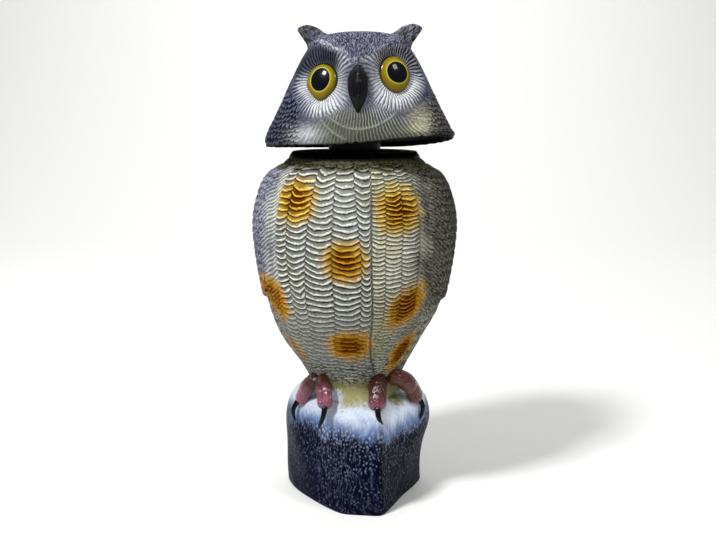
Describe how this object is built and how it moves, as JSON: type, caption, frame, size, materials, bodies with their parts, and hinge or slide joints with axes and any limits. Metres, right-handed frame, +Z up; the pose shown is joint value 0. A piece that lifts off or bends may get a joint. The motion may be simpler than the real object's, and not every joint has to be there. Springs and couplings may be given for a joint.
{
  "type": "owl decoy",
  "caption": "Perched horned-owl bird scarer of moulded plastic: painted body on a stump that stands by its own weight, with a head that turns freely on a round hub.",
  "frame": {"origin": "the middle of the flat underside of the stump, on the axis that the head turns about", "axes": "+Z up through the hub, -Y the way the owl looks, +X the owl's own left"},
  "size_m": [0.1843, 0.1607, 0.4204],
  "materials": {
    "painted_body": "spray-painted feathers in white, grey and orange-brown over grey plastic, satin",
    "painted_head": "spray-painted slate blue and silver white, satin; beak gloss black",
    "black_hub": "black moulded plastic, satin",
    "eye_gloss": "clear-coated mustard yellow with a black pupil, high gloss"
  },
  "bodies": {
    "base": {"body": "painted_body", "pivot_hub": "black_hub"},
    "head": {"head": "painted_head", "eye_left": "eye_gloss", "eye_right": "eye_gloss"}
  },
  "joints": [
    {"name": "head_turn", "type": "hinge", "parent": "base", "child": "head", "pos_m": [0, 0, 0.31], "axis": [0, 0, 1], "continuous": true}
  ]
}
